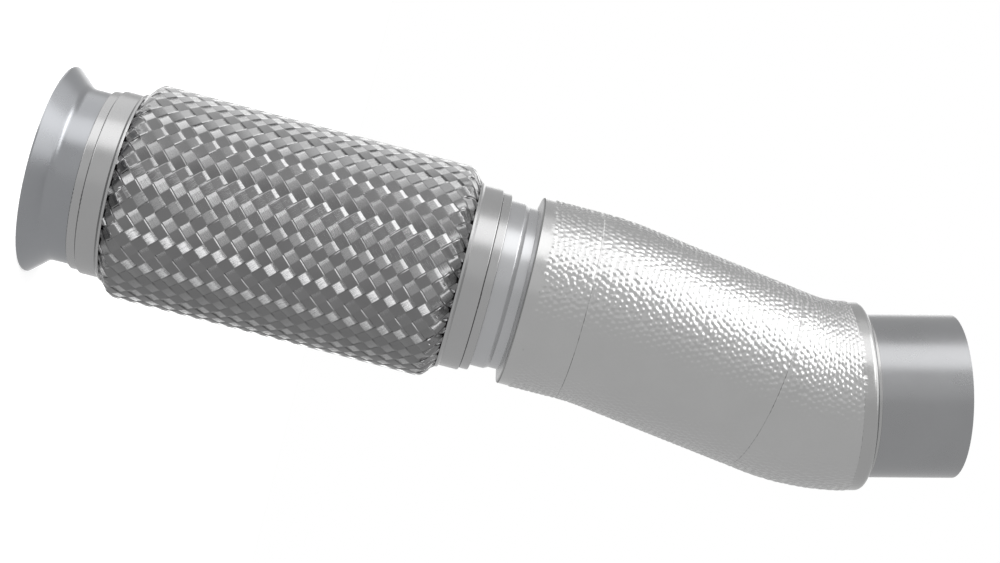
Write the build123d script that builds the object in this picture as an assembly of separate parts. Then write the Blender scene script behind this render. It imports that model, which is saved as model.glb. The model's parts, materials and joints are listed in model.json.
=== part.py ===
from build123d import *
import os
from math import cos, pi, radians, sin, sqrt, tan

os.makedirs("parts", exist_ok=True)

# Exhaust flex pipe for a truck. It stands on its flared inlet: the mouth of the flare is
# centred on the origin, the flex section rises along +Z, and the pipe above it bends in
# the XZ plane, first towards +X and then back towards -X. All sizes are in millimetres.

# Inlet neck, with the flare that a clamp ring pulls against the mating flange
neck_diameter = 133.6
neck_wall = 2.0
flare_rim_diameter = 159.0
flare_angle = 42.0
flare_rim_land = 1.2
flare_root_radius = 9.0

# Outlet tube, its bends and the wider end that joins the flex section
tube_diameter = 127.0
tube_wall = 1.6
joint_diameter = 130.6
swage_length = 3.4
swage_edge_radius = 2.0
joint_reach = 11.4
first_bend_height = 428.0
first_bend_angle = 7.5
first_bend_radius = 230.0
middle_run = 178.9
second_bend_angle = 21.7
second_bend_radius = 150.0
outlet_run = 111.5

# Weld rings and end caps, the same at both ends of the flex section
neck_to_ring = 33.3
ring_width = 7.3
ring_diameter = 139.0
ring_edge_radius = 0.9
cap_width = 18.2
cap_diameter = 142.8
cap_wall = 1.2
cap_edge_radius = 0.9
cap_lip_length = 3.6
cap_lip_rise = 1.7
cap_lip_angle = 45.0
cap_lip_edge_radius = 0.5

# Flex section between the mouths of the two end caps
flex_length = 258.5
braid_diameter = 166.4
braid_relief = 1.7
braid_wall = 1.6
ribbons_each_way = 40
braid_pitch = 12.7
braid_tuck = 0.8
braid_shoulder = 12.5
braid_turn = -99.7
cuff_inset = 2.0

# Bellows under the braid
bellows_wall = 0.8
bellows_clearance = 1.6
convolution_pitch = 17.0
crest_share = 0.34
root_share = 0.3

# Strip-wound liner that keeps the gas off the bellows
liner_wall = 1.2
liner_clearance = 0.5
liner_pitch = 21.0
lap_width = 6.0
lap_depth = 1.4

# Heat shield over an insulation mat, on the bent pipe
shield_gap = 22.0
shield_diameter = 147.0
shield_wall = 0.5
shield_start_slant = 2.6
shield_end_slant = 4.5
bare_outlet = 71.0
shield_shoulder_radius = 5.0
shield_lip_width = 2.4
shield_lip_height = 0.7
mat_clearance = 0.2

slip = 0.05


# Places along the axis that follow from the sizes above
inlet_ring_start = neck_to_ring
inlet_cap_start = inlet_ring_start + ring_width
inlet_mouth = inlet_cap_start + cap_width
outlet_mouth = inlet_mouth + flex_length
outlet_cap_end = outlet_mouth + cap_width
outlet_ring_end = outlet_cap_end + ring_width
swage_start = outlet_ring_end + joint_reach
shield_start = outlet_ring_end + shield_gap

# Layers inside the end caps, from the cap's bore inwards
neck_radius = neck_diameter / 2
joint_radius = joint_diameter / 2
tube_radius = tube_diameter / 2
cap_bore = cap_diameter / 2 - cap_wall
braid_cuff_outside = cap_bore - slip
braid_cuff_inside = braid_cuff_outside - braid_wall
bellows_cuff_outside = braid_cuff_inside * cos(pi / ribbons_each_way) - slip
bellows_cuff_inside = bellows_cuff_outside - bellows_wall
liner_cuff_outside = bellows_cuff_inside - slip
cuff_start = inlet_cap_start + cap_wall + slip
cuff_end = outlet_cap_end - cap_wall - slip

# The braid's own surface, between the rows of crossings nearest to the two caps
braid_peak = braid_diameter / 2
braid_low = braid_peak - braid_relief
braid_inside = braid_low - braid_wall
braid_start = inlet_mouth - braid_tuck
braid_end = outlet_mouth + braid_tuck
half_rows = 2 * round((braid_end - braid_start) / braid_pitch - 0.5) + 1
row_step = (braid_end - braid_start) / half_rows
turn_step = 180.0 / ribbons_each_way
shoulder_rows = max(1, round(braid_shoulder / row_step))


def turned(points, rounds=()):
    """One ring turned about the Z axis from (radius, height) points.

    rounds holds (point number, radius) pairs for the corners that are rounded."""
    section = make_face(Polyline(*[(r, z) for r, z in points], close=True))
    for number, radius in rounds:
        corner = section.vertices().sort_by_distance((*points[number], 0))[0]
        section = fillet(corner, radius)
    return revolve(Plane.XZ * section, Axis.Z)


def inlet_flange():
    """Tube neck whose mouth is flared out to a rim that stands flat on z = 0."""
    rim = flare_rim_diameter / 2
    bore = neck_radius - neck_wall
    slope = tan(radians(flare_angle))
    skin = neck_wall / cos(radians(flare_angle))
    root = flare_rim_land + (rim - neck_radius) / slope
    bore_rim = rim - skin + flare_rim_land * slope
    bore_root = (bore_rim - bore) / slope
    top = inlet_mouth - cuff_inset
    points = [
        (bore_rim, 0),
        (rim, 0),
        (rim, flare_rim_land),
        (neck_radius, root),
        (neck_radius, top),
        (bore, top),
        (bore, bore_root),
    ]
    return turned(points, [(3, flare_root_radius), (6, flare_root_radius + neck_wall)])


def weld_ring(seat_radius, low, high):
    """Narrow ring on the pipe, against the back of an end cap."""
    outside = ring_diameter / 2
    points = [(seat_radius, low), (outside, low), (outside, high), (seat_radius, high)]
    return turned(points, [(1, ring_edge_radius), (2, ring_edge_radius)])


def end_cap(seat_radius, back, mouth):
    """Pressed cap: a collar on the pipe, a wide band, and a lip stepped out over the braid."""
    way = 1 if mouth > back else -1
    outside = cap_diameter / 2
    lip_outside = outside + cap_lip_rise
    lip_start = mouth - way * cap_lip_length
    lip_full = lip_start + way * cap_lip_rise / tan(radians(cap_lip_angle))
    inside_shift = way * cap_wall * tan(radians(cap_lip_angle / 2))
    points = [
        (seat_radius, back),
        (outside, back),
        (outside, lip_start),
        (lip_outside, lip_full),
        (lip_outside, mouth),
        (lip_outside - cap_wall, mouth),
        (lip_outside - cap_wall, lip_full + inside_shift),
        (cap_bore, lip_start + inside_shift),
        (cap_bore, back + way * cap_wall),
        (seat_radius, back + way * cap_wall),
    ]
    return turned(points, [(1, cap_edge_radius), (4, cap_lip_edge_radius)])


def shoulder_radius(row):
    """Radius of the braid's crests at one row, rounded down to the cuff at both ends."""
    rows_in = min(row, half_rows - row)
    if rows_in >= shoulder_rows:
        return braid_peak
    left = 1 - rows_in / shoulder_rows
    return braid_cuff_outside + (braid_peak - braid_cuff_outside) * sqrt(1 - left ** 2)


def braid_point(turn, row, sunk):
    """Corner of the weave: turn and row count half steps, sunk says that it is in a valley."""
    at_cuff = row in (0, half_rows)
    radius = shoulder_radius(row) - (0 if at_cuff or not sunk else braid_relief)
    angle = radians(braid_turn - turn_step * (turn % (2 * ribbons_each_way)))
    return (radius * cos(angle), radius * sin(angle), braid_start + row * row_step)


# Each ribbon passes over two crossings and under two. In rows 0 and 1 of every four the
# ribbons of one hand lie on top, in rows 2 and 3 the others. A float peaks at its middle, so
# of the four corners of a crossing the two that this names are high and the two others low.
HIGH_CORNERS = (("above", "left"), ("below", "right"), ("above", "right"), ("below", "left"))
CORNERS = {"below": (-1, 0), "right": (0, 1), "above": (1, 0), "left": (0, -1)}


def crossing_corners(turn, row):
    """Corners of the crossing at (turn, row) in order, as (place, sunk), inside the braid."""
    high = HIGH_CORNERS[turn % 4]
    corners = []
    for name, (turn_by, row_by) in CORNERS.items():
        if 0 <= row + row_by <= half_rows:
            corners.append(((turn + turn_by, row + row_by), name not in high))
    return corners


def edge_key(first, second):
    """Name of the edge between two corners, whichever way round it is walked."""
    whole = 2 * ribbons_each_way
    ends = [(first[0] % whole, first[1]), (second[0] % whole, second[1])]
    return tuple(sorted(ends))


def same_height(row, first_sunk, second_sunk):
    """Whether two skins meet at a corner: they do at the cuff, where there is no relief."""
    return row in (0, half_rows) or first_sunk == second_sunk


def weave_edges():
    """For each edge of the lattice, how the crossings on its two sides lie at its ends."""
    edges = {}
    for row in range(half_rows + 1):
        for turn in range((row + 1) % 2, 2 * ribbons_each_way, 2):
            corners = crossing_corners(turn, row)
            for (first, first_sunk), (second, second_sunk) in zip(corners, corners[1:] + corners[:1]):
                sides = {first: first_sunk, second: second_sunk}
                edges.setdefault(edge_key(first, second), []).append((first, second, sides))
    return edges


def edge_middle(first, second):
    """Point half-way along an edge where one crossing's skin falls as its neighbour's rises."""
    ends = [braid_point(*place, sunk) for place in (first, second) for sunk in (False, True)]
    return tuple(sum(values) / 4 for values in zip(*ends))


def triangle(*corners):
    return Face(Wire.make_polygon([Vector(*corner) for corner in corners], close=True))


def skin_faces(edges):
    """Faces of the crossings, and the small steps between neighbours."""
    faces = []
    crossed = set()
    for key, owners in edges.items():
        if len(owners) < 2:
            continue
        (first, second, near), (_, _, far_sides) = owners
        far = {place: sunk for place, sunk in zip((second, first), far_sides.values())}
        open_first = not same_height(first[1], near[first], far[first])
        open_second = not same_height(second[1], near[second], far[second])
        if open_first and open_second:
            crossed.add(key)
            middle = edge_middle(first, second)
            for place in (first, second):
                faces.append(triangle(braid_point(*place, False), braid_point(*place, True), middle))
        elif open_first or open_second:
            place, other = (first, second) if open_first else (second, first)
            tip = braid_point(*other, near[other])
            faces.append(triangle(braid_point(*place, False), braid_point(*place, True), tip))
    for row in range(half_rows + 1):
        for turn in range((row + 1) % 2, 2 * ribbons_each_way, 2):
            corners = crossing_corners(turn, row)
            outline = []
            for (first, sunk), (second, _) in zip(corners, corners[1:] + corners[:1]):
                outline.append(braid_point(*first, sunk))
                if edge_key(first, second) in crossed:
                    outline.append(edge_middle(first, second))
            start = next((n for n, (_, sunk) in enumerate(corners) if not sunk), 0)
            anchor = outline.index(braid_point(*corners[start][0], corners[start][1]))
            outline = outline[anchor:] + outline[:anchor]
            for second, third in zip(outline[1:], outline[2:]):
                faces.append(triangle(outline[0], second, third))
    return faces


def ring_points(radius, height, odd):
    """Corners of one many-sided ring of the braid's inside or cuffs."""
    angles = [radians(braid_turn - turn_step * (2 * n + odd)) for n in range(ribbons_each_way)]
    return [(radius * cos(angle), radius * sin(angle), height) for angle in angles]


def band_faces(low, high, low_odd, high_odd):
    """Triangles between two rings of corners that are in step or half a step apart."""
    faces = []
    count = len(low)
    shift = 1 if low_odd and not high_odd else 0
    for n in range(count):
        after = (n + 1) % count
        facing = (n + shift) % count
        faces.append(triangle(low[n], low[after], high[facing]))
        if low_odd == high_odd or shift:
            faces.append(triangle(low[after], high[facing], high[(facing + 1) % count]))
        else:
            faces.append(triangle(low[after], high[n], high[after]))
    return faces


def braid():
    """Woven sleeve as one wall: a lattice of ribbon floats outside, plain inside, with a
    flat cuff at each end that is caught between an end cap and the bellows."""
    end_odd = half_rows % 2
    faces = skin_faces(weave_edges())
    inner_drop = braid_peak - braid_inside
    rings = [(braid_cuff_outside, braid_start, 0), (braid_cuff_outside, cuff_start, 0)]
    rings.append((braid_cuff_inside, cuff_start, 0))
    for row in range(shoulder_rows + 1):
        drop = braid_wall if row == 0 else inner_drop
        rings.append((shoulder_radius(row) - drop, braid_start + row * row_step, 0))
    for row in range(half_rows - shoulder_rows, half_rows + 1):
        drop = braid_wall if row == half_rows else inner_drop
        rings.append((shoulder_radius(row) - drop, braid_start + row * row_step, end_odd))
    rings.append((braid_cuff_inside, cuff_end, end_odd))
    rings.append((braid_cuff_outside, cuff_end, end_odd))
    rings.append((braid_cuff_outside, braid_end, end_odd))
    corners = [(ring_points(*ring), ring[2]) for ring in rings]
    for (low, low_odd), (high, high_odd) in zip(corners, corners[1:]):
        faces += band_faces(low, high, low_odd, high_odd)
    return Solid(Shell(faces))


def bellows():
    """Thin convoluted tube, with plain cuffs that are welded in under the end caps."""
    crest = braid_inside * cos(pi / ribbons_each_way) - bellows_clearance
    root = bellows_cuff_outside
    low = braid_start + shoulder_rows * row_step
    high = braid_end - shoulder_rows * row_step
    count = round((high - low) / convolution_pitch)
    pitch = (high - low) / count
    crest_half = pitch * crest_share / 2
    root_half = pitch * root_share / 2
    outer = [(root, cuff_start)]
    inner = [(root - bellows_wall, cuff_start)]
    for n in range(count):
        middle = low + (n + 0.5) * pitch
        reach = pitch / 2 - root_half
        outer += [(root, middle - reach), (crest, middle - crest_half)]
        outer += [(crest, middle + crest_half), (root, middle + reach)]
        inner += [
            (root - bellows_wall, middle - reach + bellows_wall),
            (crest - bellows_wall, middle - crest_half + bellows_wall),
            (crest - bellows_wall, middle + crest_half - bellows_wall),
            (root - bellows_wall, middle + reach - bellows_wall),
        ]
    outer.append((root, cuff_end))
    inner.append((root - bellows_wall, cuff_end))
    return turned(outer + inner[::-1])


def interlock_liner():
    """Strip-wound hose: hooked laps between plain cuffs, one cuff on each pipe end."""
    outside = liner_cuff_outside - liner_clearance
    inside = outside - liner_wall - lap_depth
    low = inlet_mouth + cuff_inset
    high = outlet_mouth - cuff_inset
    count = round((high - low) / liner_pitch)
    pitch = (high - low) / count
    outer = [(liner_cuff_outside, cuff_start), (liner_cuff_outside, low), (outside, low)]
    inner = [(neck_radius + slip, cuff_start), (neck_radius + slip, low - cuff_inset + slip)]
    inner.append((inside, low - cuff_inset + slip))
    for n in range(count):
        lap = low + (n + 0.5) * pitch
        outer += [(outside, lap - lap_width / 2), (outside - lap_depth, lap - lap_width / 2)]
        outer += [(outside - lap_depth, lap + lap_width / 2), (outside, lap + lap_width / 2)]
        seam = low + n * pitch + lap_width
        if n:
            inner += [(inside, seam - lap_width / 3), (inside + lap_depth, seam - lap_width / 3)]
            inner += [(inside + lap_depth, seam), (inside, seam)]
    inner += [(inside, high + cuff_inset - slip), (joint_radius + slip, high + cuff_inset - slip)]
    inner.append((joint_radius + slip, cuff_end))
    outer += [(outside, high), (liner_cuff_outside, high), (liner_cuff_outside, cuff_end)]
    return turned(outer + inner[::-1])


def centre_line(start, end_cut=0.0):
    """Line of the bent pipe from a height on the flex axis, short of the outlet by a cut."""
    first = radians(first_bend_angle)
    second = radians(first_bend_angle - second_bend_angle)
    corner_one = (0, first_bend_height)
    corner_two = (middle_run * sin(first), first_bend_height + middle_run * cos(first))
    last = outlet_run - end_cut
    end = (corner_two[0] + last * sin(second), corner_two[1] + last * cos(second))
    points = [(0, start), corner_one, corner_two, end]
    return Plane.XZ * FilletPolyline(*points, radius=[first_bend_radius, second_bend_radius])


def piped(radius, start, end_cut=0.0):
    """Solid rod of one radius along the bent pipe's centre line."""
    path = centre_line(start, end_cut)
    return sweep(Plane.XY.offset(start) * Circle(radius), path=path, transition=Transition.ROUND)


def outlet_frame(back=0.0):
    """Plane square to the outlet, its origin a distance back from the outlet's end."""
    path = centre_line(swage_start)
    end = path @ 1
    along = path % 1
    return Plane(origin=end - along * back, x_dir=(0, 1, 0), z_dir=along)


def bent_pipe():
    """Tube from the flex section to the outlet, with its start swaged wider."""
    start = outlet_mouth + cuff_inset
    swage_end = swage_start + swage_length
    points = [
        (joint_radius - tube_wall, start),
        (joint_radius, start),
        (joint_radius, swage_start),
        (tube_radius, swage_end),
        (tube_radius - tube_wall, swage_end),
        (joint_radius - tube_wall, swage_start),
    ]
    corners = [(2, swage_edge_radius)]
    tube = piped(tube_radius, swage_end) - piped(tube_radius - tube_wall, swage_end)
    return turned(points, corners) + tube


def shield_form(inset):
    """Outer form of the shield, drawn in by a wall: a slant down to the pipe at both ends,
    sharp at the start and rounded over at the outlet."""
    outside = shield_diameter / 2 - inset
    start = shield_start + inset
    body_start = start + shield_start_slant
    body_end = bare_outlet + inset + shield_end_slant
    cone_points = [(0, start), (tube_radius, start), (outside, body_start), (0, body_start)]
    foot = tube_radius + shield_lip_height
    closing = Cone(outside, foot, shield_end_slant, align=(Align.CENTER, Align.CENTER, Align.MIN))
    seat = outlet_frame(body_end)
    body = piped(outside, body_start, body_end) + seat * closing
    corner = body.edges().sort_by_distance(seat.origin + seat.x_dir * outside)[0]
    body = fillet(corner, shield_shoulder_radius - inset)
    return turned(cone_points) + body


def heat_shield():
    """Foil jacket round the bend, closed down on to the pipe, with a lip at the outlet end."""
    bore = piped(tube_radius + slip, shield_start - shield_start_slant)
    lip_frame = outlet_frame(bare_outlet)
    lip = lip_frame * extrude(Circle(tube_radius + shield_lip_height), shield_lip_width)
    return shield_form(0) - shield_form(shield_wall) + lip - bore


def insulation_mat():
    """Fibre mat that fills the space between the pipe and the shield."""
    bore = piped(tube_radius + slip, shield_start - shield_start_slant)
    return shield_form(shield_wall + mat_clearance) - bore


nodes = {
    "inlet_flange": inlet_flange(),
    "inlet_weld_ring": weld_ring(neck_radius, inlet_ring_start, inlet_cap_start),
    "inlet_end_cap": end_cap(neck_radius, inlet_cap_start, inlet_mouth),
    "braid": braid(),
    "bellows": bellows(),
    "interlock_liner": interlock_liner(),
    "outlet_end_cap": end_cap(joint_radius, outlet_cap_end, outlet_mouth),
    "outlet_weld_ring": weld_ring(joint_radius, outlet_cap_end, outlet_ring_end),
    "bent_pipe": bent_pipe(),
    "insulation_mat": insulation_mat(),
    "heat_shield": heat_shield(),
}

for name, shape in nodes.items():
    export_step(shape, f"parts/{name}.step")
    print(name, "solids", len(shape.solids()), "volume", round(shape.volume))
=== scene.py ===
import json
from math import atan2, cos, pi, radians, sin, sqrt, tan

import bpy
import numpy as np
from mathutils import Matrix, Vector

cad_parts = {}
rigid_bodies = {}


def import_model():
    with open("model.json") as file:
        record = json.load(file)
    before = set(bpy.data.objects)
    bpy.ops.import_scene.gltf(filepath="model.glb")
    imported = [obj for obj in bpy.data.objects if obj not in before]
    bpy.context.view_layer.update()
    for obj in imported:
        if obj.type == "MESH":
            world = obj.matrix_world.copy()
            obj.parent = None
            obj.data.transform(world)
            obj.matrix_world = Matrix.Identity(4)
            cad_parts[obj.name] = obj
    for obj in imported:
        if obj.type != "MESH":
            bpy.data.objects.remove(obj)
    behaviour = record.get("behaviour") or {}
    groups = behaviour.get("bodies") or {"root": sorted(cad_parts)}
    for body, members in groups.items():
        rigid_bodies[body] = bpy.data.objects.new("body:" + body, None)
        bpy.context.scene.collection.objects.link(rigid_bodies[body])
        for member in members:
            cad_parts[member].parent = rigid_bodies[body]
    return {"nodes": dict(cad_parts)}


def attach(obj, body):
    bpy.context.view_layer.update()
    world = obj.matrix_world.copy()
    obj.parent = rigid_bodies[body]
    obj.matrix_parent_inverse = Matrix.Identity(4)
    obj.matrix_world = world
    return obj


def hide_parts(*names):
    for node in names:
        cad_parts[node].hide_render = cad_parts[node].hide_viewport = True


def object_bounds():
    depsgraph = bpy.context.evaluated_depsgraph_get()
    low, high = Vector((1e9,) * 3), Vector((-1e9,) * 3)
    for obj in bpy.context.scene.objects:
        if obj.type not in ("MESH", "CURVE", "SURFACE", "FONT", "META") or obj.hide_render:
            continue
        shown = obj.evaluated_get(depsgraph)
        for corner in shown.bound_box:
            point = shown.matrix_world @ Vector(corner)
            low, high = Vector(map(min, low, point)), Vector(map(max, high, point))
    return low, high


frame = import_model()
cad_low, cad_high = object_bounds()

# An exhaust flex pipe that stands on its flared inlet. All sizes are in metres, in the
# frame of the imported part: +Z runs up the flex section, and the pipe bends in the XZ plane.
MM = 0.001

# The bent pipe's centre line
first_bend_height = 428 * MM
first_bend_angle = radians(7.5)
first_bend_radius = 230 * MM
middle_run = 178.9 * MM
second_bend_angle = radians(21.7)
second_bend_radius = 150 * MM
outlet_run = 111.5 * MM

# The braid, from one end cap's mouth to the other. Its height is counted in half rows, each
# as high as the way from one crossing of a ribbon to its next.
braid_start = 58.0 * MM
braid_end = 318.1 * MM
braid_peak = 83.2 * MM
braid_cuff = 70.15 * MM
braid_turn = radians(-99.7)
half_rows = 41
shoulder_rows = 2
ribbons_each_way = 40
crossings_per_repeat = 4

# A ribbon: its section, and how it rises over two others and falls under the next two
ribbon_thickness = 0.7 * MM
ribbon_bevel = 0.75 * MM
ribbon_edge_drop = 0.35 * MM
ribbon_crease = radians(9)
float_peak = 0.3 * MM
float_shoulder = 0.2 * MM
shoulder_share = 0.6
fall_power = 1.2
stops_from_float = (0.0, 0.38, shoulder_share, 0.83, 0.9, 0.96, 1.0, 1.1, 1.5, 2.0)
end_stop_step = 0.25
ribbon_tuck = 0.9
repeats_between_ribbons = 7

# The heat shield's outline
tube_radius = 63.5 * MM
shield_radius = 73.5 * MM
shield_start = 364.8 * MM
shield_start_slant = 2.6 * MM
shield_start_gap = 0.1 * MM
shield_edge = 0.7 * MM
shield_edge_steps = ((-0.9, 1.6), (-0.35, 0.45), (0.6, 0.0))
shield_end_slant = 1.4 * MM
shield_end_gap = 0.05 * MM
shield_shoulder = 5 * MM
shoulder_steps = 8
shield_back = 71 * MM
shield_lip_width = 2.9 * MM
shield_lip_height = 0.7 * MM
lip_bevel = 0.25 * MM
lip_root_width = 0.15 * MM
lip_root_height = 0.3 * MM
shield_crease = radians(42)

# The plain margins of the shield, and shares of their width at which they have a row
margin_at_start = 9 * MM
start_margin_rows = (0.3, 0.6, 0.97)
margin_at_end = 7.6 * MM
end_margin_rows = (0.04, 0.5, 1.0)

# The embossed bumps, and the seams between the shield's lengths
bump_pitch = 4.6 * MM
bump_radius = 2.1 * MM
bump_height = 0.55 * MM
bump_jitter = 1.0 * MM
bump_width_range = (0.88, 1.14)
bump_height_range = (0.85, 1.0)
bump_seed = 41
cells_per_bump = 5
shield_seams = (413 * MM, 566.5 * MM)
seam_depth = 0.18 * MM
seam_half_width = 0.22 * MM
bumps_beside_seam = 0.3

# Where a metal's colour changes: the pipe up to the shield's start is lighter, partly as its own
# lighter metal and partly as painted light over the shade of the cap and shield; the round edge
# of the shield's start wall has a painted shade line; the plain margin at the shield's end is
# painted darker as shade
pipe_start_metal_and_painted_light = 1.45
wall_shade_line_back = 0.6 * MM
wall_shade_line_tone = 0.33
margin_painted_shade = 0.86
tone_blend = 0.4 * MM

# The camera, fitted to the rings and outlines of the photographed pipe
camera_place = Vector((-0.19074, -1.22590, 0.28353))
camera_right = Vector((-0.25603, -0.01347, 0.96658))
camera_up = Vector((-0.95472, 0.16024, -0.25065))
camera_lens = 58.07
sensor_width = 36.0

# Surroundings
lamp_distance = 9.0
floor_size = 8.0
floor_gap = 0.1 * MM
paper_glow = 0.25


def make_object(name, points, faces, material, crease, uvs=None):
    """Mesh object from points and faces, smooth except where they meet at more than the crease."""
    mesh = bpy.data.meshes.new(name)
    points = np.asarray(points, dtype=float)
    faces = np.asarray(faces, dtype=int)
    mesh.from_pydata(points.tolist(), [], faces.tolist())
    if uvs is not None:
        layer = mesh.uv_layers.new(name="along_and_across")
        corners = np.empty(len(mesh.loops), dtype=int)
        mesh.loops.foreach_get("vertex_index", corners)
        layer.data.foreach_set("uv", np.asarray(uvs, dtype=float)[corners].ravel())
    mesh.polygons.foreach_set("use_smooth", [True] * len(mesh.polygons))
    mesh.set_sharp_from_angle(angle=crease)
    mesh.materials.append(material)
    mesh.validate()
    made = bpy.data.objects.new(name, mesh)
    bpy.context.scene.collection.objects.link(made)
    return made


def pipe_stretches():
    """Stretches of the pipe's centre line from the inlet mouth on, as (length, curvature)."""
    first_cut = first_bend_radius * tan(first_bend_angle / 2)
    second_cut = second_bend_radius * tan(second_bend_angle / 2)
    return [
        (first_bend_height - first_cut, 0.0),
        (first_bend_radius * first_bend_angle, 1 / first_bend_radius),
        (middle_run - first_cut - second_cut, 0.0),
        (second_bend_radius * second_bend_angle, -1 / second_bend_radius),
        (outlet_run - second_cut, 0.0),
    ]


def line_length():
    """Whole length of the centre line, from the inlet mouth to the outlet."""
    return sum(length for length, curvature in pipe_stretches())


def centre_line(travel):
    """Point (x, z) and tilt of the pipe's centre line after a travel from the inlet mouth."""
    x = z = tilt = 0.0
    for length, curvature in pipe_stretches():
        step = min(travel, length)
        if curvature:
            turn = step * curvature
            x += (cos(tilt) - cos(tilt + turn)) / curvature
            z += (sin(tilt + turn) - sin(tilt)) / curvature
            tilt += turn
        else:
            x += step * sin(tilt)
            z += step * cos(tilt)
        travel -= step
    return x, z, tilt


def braid_radius(row):
    """Radius of the braid's crests at a half row, which falls to the cuffs at both ends."""
    rows_in = min(row, half_rows - row) / shoulder_rows
    if rows_in >= 1:
        return braid_peak
    left = 1 - max(rows_in, 0)
    return braid_cuff + (braid_peak - braid_cuff) * (1 - left ** 2)


def float_height(distance):
    """Height of a ribbon over the weave's middle, by crossings from the middle of a float, which
    is where it lies over two others."""
    if distance > 1:
        return -float_height(2 - distance)
    if distance < shoulder_share:
        return float_peak - (float_peak - float_shoulder) * distance / shoulder_share
    fall = (distance - shoulder_share) / (1 - shoulder_share)
    return float_shoulder * (1 - fall ** fall_power)


def ribbon_profile():
    """Section of a ribbon across its width, as (share of the width, height) corners."""
    half = ribbon_thickness / 2
    width = 2 * pi * braid_peak / ribbons_each_way / sqrt(2)
    bevel = ribbon_bevel / width
    edge = half - ribbon_edge_drop
    rising = [(-0.5, -half), (-0.5, edge), (bevel - 0.5, half)]
    falling = [(0.5 - bevel, half), (0.5, edge), (0.5, -half)]
    return rising + falling


def ribbon_rows(first_turn, hand, float_middle):
    """Half rows at which one ribbon has a section: where it bends over and under the others,
    and close together at both ends."""
    lowest, highest = -ribbon_tuck, half_rows + ribbon_tuck
    rows = set()
    for repeat in range(-half_rows, half_rows):
        for stop in stops_from_float:
            for side in (-1, 1):
                middle = float_middle + crossings_per_repeat * repeat
                row = hand * (middle + side * stop - first_turn)
                if lowest < row < highest:
                    rows.add(round(row, 4))
    for n in range(int((shoulder_rows + ribbon_tuck) / end_stop_step) + 1):
        rows.update({lowest + n * end_stop_step, highest - n * end_stop_step})
    return sorted(rows)


def braid_ribbons(name, hand, float_middle, material):
    """All ribbons of one hand. hand is -1 or 1: the way a ribbon turns as it rises."""
    row_step = (braid_end - braid_start) / half_rows
    turn_step = pi / ribbons_each_way
    half_repeat = crossings_per_repeat / 2
    shift = crossings_per_repeat * repeats_between_ribbons
    profile = ribbon_profile()
    count = len(profile)
    points, uvs, faces = [], [], []
    for number in range(ribbons_each_way):
        first_turn = 2 * number + 1
        rows = ribbon_rows(first_turn, hand, float_middle)
        base = len(points)
        for row in rows:
            turn = first_turn + hand * row
            away = abs((turn - float_middle + half_repeat) % crossings_per_repeat - half_repeat)
            for share, height in profile:
                angle = braid_turn - turn_step * (turn + share)
                place_row = row - hand * share
                radius = braid_radius(place_row) - float_peak - ribbon_thickness / 2
                radius += float_height(away) + height
                rise = braid_start + row_step * place_row
                points.append((radius * cos(angle), radius * sin(angle), rise))
                uvs.append((turn - float_middle + shift * number, share))
        for n in range(len(rows) - 1):
            low, high = base + n * count, base + (n + 1) * count
            for k in range(count):
                after = (k + 1) % count
                faces.append([high + k, high + after, low + after, low + k])
    return make_object(name, points, faces, material, ribbon_crease, uvs)


def shield_end_bend():
    """Travel at which the shield's outlet end starts to bend in, and how steep it gets."""
    foot = line_length() - shield_back
    steep = atan2(shield_radius - tube_radius - shield_lip_height, shield_end_slant)
    return foot - shield_end_slant - shield_shoulder * tan(steep / 2), steep


def end_margin_plane():
    """Axis of the pipe where the plain margin at the shield's end begins, and the distance of
    that place along the axis, from the origin."""
    bend_start, steep = shield_end_bend()
    x, z, tilt = centre_line(bend_start - margin_at_end)
    return (sin(tilt), 0, cos(tilt)), x * sin(tilt) + z * cos(tilt)


def shield_profile():
    """Rows of the plain shield from its start to the lip, as (travel, radius, 1 if embossed)."""
    foot = line_length() - shield_back
    lip = tube_radius + shield_lip_height
    body_start = shield_start + shield_start_slant
    bend_start, steep = shield_end_bend()
    first, last = body_start + margin_at_start, bend_start - margin_at_end
    rows = [(shield_start, tube_radius + shield_start_gap, 0)]
    for on, drop in shield_edge_steps:
        rows.append((body_start + shield_edge * on, shield_radius - shield_edge * drop, 0))
    for share in start_margin_rows:
        rows.append((body_start + margin_at_start * share, shield_radius, 0))
    count = round((last - first) / (bump_pitch * sqrt(3) / 2 / cells_per_bump))
    for n in range(count + 1):
        rows.append((first + (last - first) * n / count, shield_radius, 1))
    for share in end_margin_rows:
        rows.append((last + margin_at_end * share, shield_radius, 0))
    for n in range(1, shoulder_steps + 1):
        turn = n * steep / shoulder_steps
        drop = shield_shoulder * (1 - cos(turn))
        rows.append((bend_start + shield_shoulder * sin(turn), shield_radius - drop, 0))
    rows.append((foot - lip_root_width, lip + lip_root_height, 0))
    rows.append((foot, lip, 0))
    rows.append((foot + shield_lip_width - lip_bevel, lip, 0))
    rows.append((foot + shield_lip_width, lip - lip_bevel, 0))
    rows.append((foot + shield_lip_width, tube_radius + shield_end_gap, 0))
    return rows


def bump_heights(travels, around):
    """Height of the embossed bumps on a grid of travels along and cells around the shield."""
    heights = np.zeros((len(travels), around))
    turn = 2 * pi * shield_radius
    cell = turn / around
    columns = round(turn / bump_pitch)
    step = bump_pitch * sqrt(3) / 2
    rng = np.random.default_rng(bump_seed)
    for row in range(round((travels[-1] - travels[0]) / step)):
        for column in range(columns):
            along = travels[0] + (row + 0.5) * step + rng.uniform(-bump_jitter, bump_jitter)
            across = (column + 0.5 * (row % 2)) * turn / columns
            across += rng.uniform(-bump_jitter, bump_jitter)
            wide = bump_radius * rng.uniform(*bump_width_range)
            low, high = np.searchsorted(travels, [along - wide, along + wide])
            cells = np.arange(int((across - wide) / cell), int((across + wide) / cell) + 2)
            square = (travels[low:high, None] - along) ** 2 + (cells * cell - across) ** 2
            dome = np.clip(1 - square / wide ** 2, 0, None) * rng.uniform(*bump_height_range)
            patch = heights[low:high, cells % around]
            heights[low:high, cells % around] = np.maximum(patch, dome)
    return heights * bump_height


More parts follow.
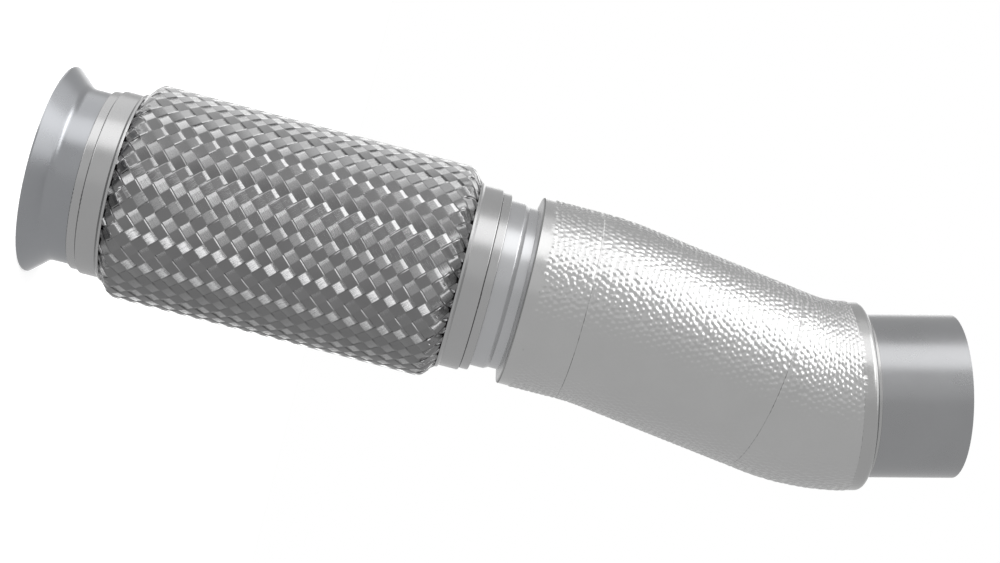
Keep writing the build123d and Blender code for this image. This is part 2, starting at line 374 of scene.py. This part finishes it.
def embossed_shield(foil, painted_light_wall_foil):
    """Heat shield: a wall that rises from the pipe, then a jacket in lengths with seams between,
    embossed up to plain margins."""
    travels, radii, embossed = np.array(shield_profile()).T
    around = cells_per_bump * round(2 * pi * shield_radius / bump_pitch)
    seams = np.array([np.abs(travels - place).argmin() for place in shield_seams])
    before, after = seams - 1, seams + 1
    radii[seams] -= seam_depth
    travels[before] = travels[seams] - seam_half_width
    travels[after] = travels[seams] + seam_half_width
    heights = np.zeros((len(travels), around))
    bumpy = np.flatnonzero(embossed)
    heights[bumpy] = bump_heights(travels[bumpy], around)
    heights[seams] = 0
    heights[before] *= bumps_beside_seam
    heights[after] *= bumps_beside_seam

    middle_x, middle_z, tilt = np.array([centre_line(travel) for travel in travels]).T[:, :, None]
    angles = np.arange(around) * 2 * pi / around
    reach = radii[:, None] + heights
    out = reach * np.cos(angles)
    x = middle_x + out * np.cos(tilt)
    y = reach * np.sin(angles)
    z = middle_z - out * np.sin(tilt)
    points = np.stack([x, y, z], axis=2)

    lengths = []
    cuts = [0, len(shield_edge_steps), *seams, len(travels) - 1]
    for number, (first, last) in enumerate(zip(cuts, cuts[1:])):
        index = np.arange((last - first + 1) * around).reshape(-1, around)
        low, high = index[:-1], index[1:]
        low_next, high_next = np.roll(low, -1, axis=1), np.roll(high, -1, axis=1)
        faces = np.stack([low, low_next, high_next, high], axis=2).reshape(-1, 4)
        part = points[first:last + 1].reshape(-1, 3)
        name = f"embossed_shield_{number}" if number else "shield_start_wall"
        material = foil if number else painted_light_wall_foil
        lengths.append(make_object(name, part, faces, material, shield_crease))
    return lengths


def node_group(name, inputs, outputs):
    """Shader node group with named sockets, its input and output nodes already in place."""
    group = bpy.data.node_groups.new(name, "ShaderNodeTree")
    for label, kind, value in inputs:
        socket = group.interface.new_socket(name=label, in_out="INPUT", socket_type=kind)
        socket.default_value = value
    for label, kind in outputs:
        group.interface.new_socket(name=label, in_out="OUTPUT", socket_type=kind)
    return group, group.nodes.new("NodeGroupInput"), group.nodes.new("NodeGroupOutput")


def calculated(tree, operation, *values):
    """Result of a Math node in a node tree, from numbers or other nodes' outputs."""
    node = tree.nodes.new("ShaderNodeMath")
    node.operation = operation
    for socket, value in zip(node.inputs, values):
        if isinstance(value, (int, float)):
            socket.default_value = value
        else:
            tree.links.new(value, socket)
    return node.outputs["Value"]


def noise(tree, place, scale, detail=2.0, roughness=0.5, stretch=None):
    """Noise over a place, which may be stretched first by a vector of factors."""
    node = tree.nodes.new("ShaderNodeTexNoise")
    node.inputs["Scale"].default_value = scale
    node.inputs["Detail"].default_value = detail
    node.inputs["Roughness"].default_value = roughness
    if stretch is not None:
        stretched = tree.nodes.new("ShaderNodeVectorMath")
        stretched.operation = "MULTIPLY"
        tree.links.new(place, stretched.inputs[0])
        if isinstance(stretch, tuple):
            stretched.inputs[1].default_value = stretch
        else:
            tree.links.new(stretch, stretched.inputs[1])
        place = stretched.outputs["Vector"]
    tree.links.new(place, node.inputs["Vector"])
    return node.outputs["Fac"]


def object_place(tree):
    """Place on the piece in the shared frame, in metres."""
    return tree.nodes.new("ShaderNodeTexCoord").outputs["Object"]


def colour_between(tree, value, low_colour, high_colour):
    """Colour that goes from one to another as a value goes from 0 to 1."""
    ramp = tree.nodes.new("ShaderNodeValToRGB")
    ramp.color_ramp.elements[0].color = low_colour
    ramp.color_ramp.elements[1].color = high_colour
    tree.links.new(value, ramp.inputs["Fac"])
    return ramp.outputs["Color"]


def bumped(tree, height, distance):
    """Normal of a surface with bumps, where a height of 1 stands for a distance in metres."""
    bump = tree.nodes.new("ShaderNodeBump")
    bump.inputs["Distance"].default_value = distance
    tree.links.new(height, bump.inputs["Height"])
    return bump.outputs["Normal"]


def new_material(name):
    """Material with its node tree and its Principled shader."""
    material = bpy.data.materials.new(name)
    material.use_nodes = True
    return material, material.node_tree, material.node_tree.nodes["Principled BSDF"]


def metal_grain_group():
    """Fine lines along one direction, and soft smudges, for worked sheet metal. Form is the
    height of a coarser shape under the lines, in metres."""
    group, given, result = node_group(
        "metal_grain",
        [
            ("Line scale", "NodeSocketVector", (200.0, 200.0, 6.0)),
            ("Line depth", "NodeSocketFloat", 0.00002),
            ("Smudge", "NodeSocketFloat", 0.06),
            ("Base roughness", "NodeSocketFloat", 0.3),
            ("Form", "NodeSocketFloat", 0.0),
        ],
        [("Tone", "NodeSocketFloat"), ("Roughness", "NodeSocketFloat"), ("Normal", "NodeSocketVector")],
    )
    place = object_place(group)
    lines = noise(group, place, 1.0, detail=3.0, roughness=0.6, stretch=given.outputs["Line scale"])
    depth, form = given.outputs["Line depth"], given.outputs["Form"]
    height = calculated(group, "MULTIPLY_ADD", lines, depth, form)
    group.links.new(bumped(group, height, 1.0), result.inputs["Normal"])
    smudges = noise(group, place, 28.0, detail=4.0, roughness=0.62)
    centred = calculated(group, "SUBTRACT", smudges, 0.5)
    smudge, base = given.outputs["Smudge"], given.outputs["Base roughness"]
    tone = calculated(group, "MULTIPLY_ADD", centred, smudge, 1.0)
    group.links.new(tone, result.inputs["Tone"])
    roughness = calculated(group, "MULTIPLY_ADD", centred, smudge, base)
    group.links.new(roughness, result.inputs["Roughness"])
    return group


def metal(name, colour, roughness, line_scale, line_depth=0.01 * MM, smudge=0.10, edge=0.85):
    """Worked metal: base colour, roughness, how its lines and smudges run, and how much of its
    brightness is left where it is seen at a low angle."""
    material, tree, shader = new_material(name)
    shader.inputs["Metallic"].default_value = 1.0
    shader.inputs["Specular Tint"].default_value = (edge, edge, edge, 1)
    grain = tree.nodes.new("ShaderNodeGroup")
    grain.name = "grain"
    grain.node_tree = metal_grain
    grain.inputs["Line scale"].default_value = line_scale
    grain.inputs["Line depth"].default_value = line_depth
    grain.inputs["Smudge"].default_value = smudge
    grain.inputs["Base roughness"].default_value = roughness
    toned = tree.nodes.new("ShaderNodeVectorMath")
    toned.name = "toned"
    toned.operation = "SCALE"
    toned.inputs[0].default_value = colour
    tree.links.new(grain.outputs["Tone"], toned.inputs["Scale"])
    tree.links.new(toned.outputs["Vector"], shader.inputs["Base Color"])
    tree.links.new(grain.outputs["Roughness"], shader.inputs["Roughness"])
    tree.links.new(grain.outputs["Normal"], shader.inputs["Normal"])
    return material


def toned_past(material, axis, distance, tone):
    """Multiplies a metal's colour by a tone, past a distance along an axis from the origin."""
    tree = material.node_tree
    along = tree.nodes.new("ShaderNodeVectorMath")
    along.operation = "DOT_PRODUCT"
    along.inputs[1].default_value = axis
    tree.links.new(object_place(tree), along.inputs[0])
    past = tree.nodes.new("ShaderNodeMapRange")
    past.inputs["From Min"].default_value = distance - tone_blend
    past.inputs["From Max"].default_value = distance + tone_blend
    past.inputs["To Min"].default_value = 1.0
    past.inputs["To Max"].default_value = tone
    tree.links.new(along.outputs["Value"], past.inputs["Value"])
    grain_tone = tree.nodes["grain"].outputs["Tone"]
    both = calculated(tree, "MULTIPLY", grain_tone, past.outputs["Result"])
    tree.links.new(both, tree.nodes["toned"].inputs["Scale"])


def ribbon_form_group():
    """Form of a woven ribbon: a roof over each float that rounds over at its upper end, with
    fine wires lengthwise. It reads the crossings along the ribbon and the share across it."""
    group, given, result = node_group(
        "ribbon_form",
        [
            ("Roof rise", "NodeSocketFloat", 0.0021),
            ("End rise", "NodeSocketFloat", 0.0034),
            ("End start", "NodeSocketFloat", 0.7),
            ("Ridge rounding", "NodeSocketFloat", 0.1),
            ("Rounding", "NodeSocketFloat", 0.0001),
            ("Wire depth", "NodeSocketFloat", 0.00008),
        ],
        [("Height", "NodeSocketFloat")],
    )
    roof_rise, end_rise = given.outputs["Roof rise"], given.outputs["End rise"]
    end_start, wire_depth = given.outputs["End start"], given.outputs["Wire depth"]
    half_repeat = crossings_per_repeat / 2
    place = group.nodes.new("ShaderNodeUVMap")
    place.uv_map = "along_and_across"
    split = group.nodes.new("ShaderNodeSeparateXYZ")
    group.links.new(place.outputs["UV"], split.inputs["Vector"])
    along = split.outputs["X"]
    away = calculated(group, "PINGPONG", along, half_repeat)
    away = calculated(group, "SMOOTH_MAX", away, 0.0, given.outputs["Ridge rounding"])
    fall = calculated(group, "MULTIPLY", away, roof_rise)
    roof = calculated(group, "MULTIPLY", fall, -1.0)
    upper = calculated(group, "WRAP", along, half_repeat, -half_repeat)
    past = calculated(group, "SUBTRACT", end_start, upper)
    corner_fall = calculated(group, "MULTIPLY", end_start, roof_rise)
    corner = calculated(group, "MULTIPLY", corner_fall, -1.0)
    end = calculated(group, "MULTIPLY_ADD", past, end_rise, corner)
    form = calculated(group, "SMOOTH_MIN", roof, end, given.outputs["Rounding"])
    wires_stretch = (0.8, 18.0, 1.0)
    wires = noise(group, place.outputs["UV"], 1.0, stretch=wires_stretch)
    height = calculated(group, "MULTIPLY_ADD", wires, wire_depth, form)
    group.links.new(height, result.inputs["Height"])
    return group


def woven(material):
    """Adds the ribbons' own form to a metal's grain."""
    tree = material.node_tree
    form = tree.nodes.new("ShaderNodeGroup")
    form.node_tree = ribbon_form
    tree.links.new(form.outputs["Height"], tree.nodes["grain"].inputs["Form"])


def fibre():
    """Needled mineral fibre, pale and matt."""
    material, tree, shader = new_material("mineral_fibre")
    shader.inputs["Roughness"].default_value = 0.95
    strands = noise(tree, object_place(tree), 500.0, detail=4.0)
    colour = colour_between(tree, strands, (0.45, 0.43, 0.38, 1), (0.75, 0.73, 0.68, 1))
    tree.links.new(colour, shader.inputs["Base Color"])
    tree.links.new(bumped(tree, strands, 0.6 * MM), shader.inputs["Normal"])
    return material


def paper():
    """Seamless white floor paper with a faint fibre tone, that glows a little by itself."""
    material, tree, shader = new_material("white_paper")
    shader.inputs["Roughness"].default_value = 0.9
    shader.inputs["Specular IOR Level"].default_value = 0.0
    shader.inputs["Emission Color"].default_value = (1, 1, 1, 1)
    shader.inputs["Emission Strength"].default_value = paper_glow
    place = tree.nodes.new("ShaderNodeTexCoord").outputs["Generated"]
    fibres = noise(tree, place, 40.0)
    colour = colour_between(tree, fibres, (0.93, 0.93, 0.93, 1), (0.95, 0.95, 0.95, 1))
    tree.links.new(colour, shader.inputs["Base Color"])
    return material


def build_world():
    """Plain white surroundings of strength 1, seen behind the pipe, mirrored in it and lighting it."""
    world = bpy.data.worlds.new("white_studio")
    world.use_nodes = True
    background = world.node_tree.nodes["Background"]
    background.inputs["Color"].default_value = (1, 1, 1, 1)
    background.inputs["Strength"].default_value = 1.0
    bpy.context.scene.world = world


def area_lamp(name, rise, swing, tall, wide, brightness, lit):
    """Far rectangular lamp, placed by angles in degrees from the way back to the camera: rise
    towards the picture's top, swing to its right. tall and wide are the angles that it spans.
    Brightness is that of its face, where 1 is white, and lit the collection that it lights."""
    level = camera_back * cos(radians(rise)) + camera_up * sin(radians(rise))
    direction = (level * cos(radians(swing)) + camera_right * sin(radians(swing))).normalized()
    lamp = bpy.data.lights.new(name, "AREA")
    lamp.shape = "RECTANGLE"
    lamp.size = 2 * lamp_distance * tan(radians(wide / 2))
    lamp.size_y = 2 * lamp_distance * tan(radians(tall / 2))
    lamp.energy = brightness * pi * lamp.size * lamp.size_y
    made = bpy.data.objects.new(name, lamp)
    across = (camera_right - direction * camera_right.dot(direction)).normalized()
    turned = Matrix((across, direction.cross(across), direction)).transposed()
    made.matrix_world = Matrix.Translation(object_middle + direction * lamp_distance) @ turned.to_4x4()
    made.light_linking.receiver_collection = lit
    bpy.context.scene.collection.objects.link(made)


def aim_camera():
    """Camera at the photograph's place and lens."""
    camera = bpy.data.cameras.new("camera")
    camera.lens = camera_lens
    camera.sensor_width = sensor_width
    made = bpy.data.objects.new("camera", camera)
    turned = Matrix((camera_right, camera_up, camera_back)).transposed()
    made.matrix_world = Matrix.Translation(camera_place) @ turned.to_4x4()
    bpy.context.scene.collection.objects.link(made)
    bpy.context.scene.camera = made


object_middle = (Vector(cad_low) + Vector(cad_high)) / 2
camera_back = camera_right.cross(camera_up)

# Metals: base colour, roughness and how often the fine lines come along X, Y and Z
along_pipe = (260, 260, 12)
metal_grain = metal_grain_group()
tube_steel = metal("tube_steel", (0.225, 0.230, 0.240), 0.28, along_pipe)
pipe_steel = metal("bent_pipe_steel", (0.227, 0.229, 0.234), 0.28, along_pipe)
ring_steel = metal("ring_steel", (0.290, 0.290, 0.291), 0.26, (30, 30, 900))
cap_steel = metal("cap_steel", (0.290, 0.290, 0.291), 0.26, (20, 20, 500))
bellows_steel = metal("bellows_steel", (0.25, 0.25, 0.25), 0.25, (30, 30, 600))
liner_steel = metal("liner_steel", (0.28, 0.28, 0.28), 0.3, (30, 30, 600))

# The foil, whose grain has no direction
foil_grain = {"line_scale": (600, 600, 600), "line_depth": 0.05 * MM}
shield_foil = metal("shield_foil", (0.338, 0.338, 0.337), 0.24, **foil_grain)
# The start wall's foil is a lighter copy of the shield foil: painted light, since no lamp lights the
# wall
painted_light_wall_foil = metal("shield_wall_painted_light", (0.74, 0.74, 0.74), 0.42, edge=0.55, **foil_grain)

# The ribbons' wire, whose brightness isn't cut at a low angle
ribbon_colour = (0.138, 0.138, 0.139)
ribbon_grain = {"line_scale": (500, 500, 500), "smudge": 0.22, "edge": 1.0}
rising_steel = metal("rising_ribbon_steel", ribbon_colour, 0.16, **ribbon_grain)
falling_steel = metal("falling_ribbon_steel", ribbon_colour, 0.20, **ribbon_grain)
ribbon_form = ribbon_form_group()
woven(rising_steel)
woven(falling_steel)

# Changes of colour along the pipe and the shield, painted light and painted shade among them
# The pipe up to the shield's start: lighter, partly its own lighter metal, partly painted light that
# lifts the shade of the cap and shield
toned_past(pipe_steel, (0, 0, -1), -shield_start, pipe_start_metal_and_painted_light)
# A painted shade line on the round edge of the shield's start wall
wall_shade_line = shield_start + shield_start_slant - wall_shade_line_back
toned_past(painted_light_wall_foil, (0, 0, 1), wall_shade_line, wall_shade_line_tone)
# Painted shade on the plain margin at the shield's end and on all past it
toned_past(shield_foil, *end_margin_plane(), margin_painted_shade)

# The metal or fibre of each CAD node. Finer pieces replace two of them further down: the braid
# and the heat shield.
materials = {
    "inlet_flange": tube_steel,
    "inlet_weld_ring": ring_steel,
    "inlet_end_cap": cap_steel,
    "braid": rising_steel,
    "bellows": bellows_steel,
    "interlock_liner": liner_steel,
    "outlet_end_cap": cap_steel,
    "outlet_weld_ring": ring_steel,
    "bent_pipe": pipe_steel,
    "insulation_mat": fibre(),
    "heat_shield": shield_foil,
}
for node, material in materials.items():
    for slot in frame["nodes"][node].material_slots:
        slot.material = material

# The ribbons of each hand lie over two others in turn, and are lit by lamps of their own
rising_parts = bpy.data.collections.new("lit_as_rising_ribbons")
falling_parts = bpy.data.collections.new("lit_as_falling_ribbons")
hands = (
    ("braid_ribbons_falling", -1, 0.5, falling_steel, falling_parts),
    ("braid_ribbons_rising", 1, 2.5, rising_steel, rising_parts),
)
for name, hand, float_middle, steel, lit in hands:
    ribbons = braid_ribbons(name, hand, float_middle, steel)
    lit.objects.link(ribbons)
    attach(ribbons, "root")
    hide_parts("braid")

for length in embossed_shield(shield_foil, painted_light_wall_foil):
    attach(length, "root")
    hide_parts("heat_shield")

# The floor is neither mirrored in the pipe nor in the way of lamps from below
bpy.ops.mesh.primitive_plane_add(size=floor_size, location=(0, 0, -floor_gap))
floor = bpy.context.object
floor.name = "floor"
floor.data.materials.append(paper())
floor.visible_glossy = False
floor.visible_shadow = False

# All else, the floor included, is lit as smooth, apart from the shield's start wall, which no
# lamp lights; its brightness is painted light in its foil's colour instead
smooth_parts = bpy.data.collections.new("lit_as_smooth")
foil_parts = bpy.data.collections.new("lit_as_foil")
for made in bpy.context.scene.objects:
    if made.type == "MESH" and not made.name.startswith(("braid_ribbons", "shield_start_wall")):
        smooth_parts.objects.link(made)
    if made.name.startswith("embossed_shield"):
        foil_parts.objects.link(made)

# Lamps: rise, swing, height and width in degrees, then brightness
build_world()
area_lamp("top_softbox", 61, 0, 38, 100, 1.85, smooth_parts)
area_lamp("back_softbox", 174, 0, 34, 100, 1.1, smooth_parts)
area_lamp("root_lamp", 56, 42, 54, 20, 3.5, smooth_parts)
area_lamp("cone_softbox", 58, 74, 40, 36, 1.5, smooth_parts)
area_lamp("cone_crown_glow", 108, 58, 44, 44, 0.8, smooth_parts)
area_lamp("left_crown_glow", 108, -10, 50, 30, 0.9, smooth_parts)
area_lamp("front_softbox", 14, 0, 28, 100, 0.2, smooth_parts)
area_lamp("foil_high_glow", 92, 0, 30, 60, 0.55, foil_parts)
area_lamp("rising_low_lamp", -25, 14, 18, 28, 5.4, rising_parts)
area_lamp("rising_lower_lamp", -60, 4, 16, 28, 2.8, rising_parts)
area_lamp("rising_glow", 8, 22, 18, 24, 1.2, rising_parts)
area_lamp("rising_high_glow", 105, 6, 50, 50, 0.6, rising_parts)
area_lamp("rising_left_glow", 14, -22, 26, 16, 0.45, rising_parts)
area_lamp("rising_edge_lamp", 50, -42, 60, 26, 3.0, rising_parts)
area_lamp("rising_edge_glow", 75, -4, 50, 14, 1.2, rising_parts)
area_lamp("falling_glow", 20, -22, 70, 22, 0.7, falling_parts)
area_lamp("falling_high_glow", 100, 6, 60, 50, 0.6, falling_parts)
for rise, swing in ((-45, 40), (0, 54), (60, 54)):
    area_lamp(f"falling_edge_lamp_{rise}", rise, swing, 58, 20, 3.0, falling_parts)
for rise, swing in ((15, 46), (50, 46), (85, 42), (120, 34)):
    area_lamp(f"rising_end_lamp_{rise}", rise, swing, 34, 24, 3.5, rising_parts)
for rise, swing, brightness in ((12, -40, 2.4), (46, -29, 3.5), (80, -20, 1.8), (114, -14, 1.8)):
    area_lamp(f"falling_end_lamp_{rise}", rise, swing, 34, 18, brightness, falling_parts)
for way, lit in (("rising", rising_parts), ("falling", falling_parts)):
    area_lamp(f"{way}_upper_fill", 65, 0, 90, 100, 0.45, lit)
    area_lamp(f"{way}_crown_glow", 135, 0, 60, 90, 1.3, lit)
    area_lamp(f"{way}_lower_fill", -30, 0, 60, 100, 0.1, lit)
    area_lamp(f"{way}_back_softbox", 182, 0, 34, 60, 1.5, lit)
aim_camera()

bpy.context.scene.view_settings.view_transform = "Standard"
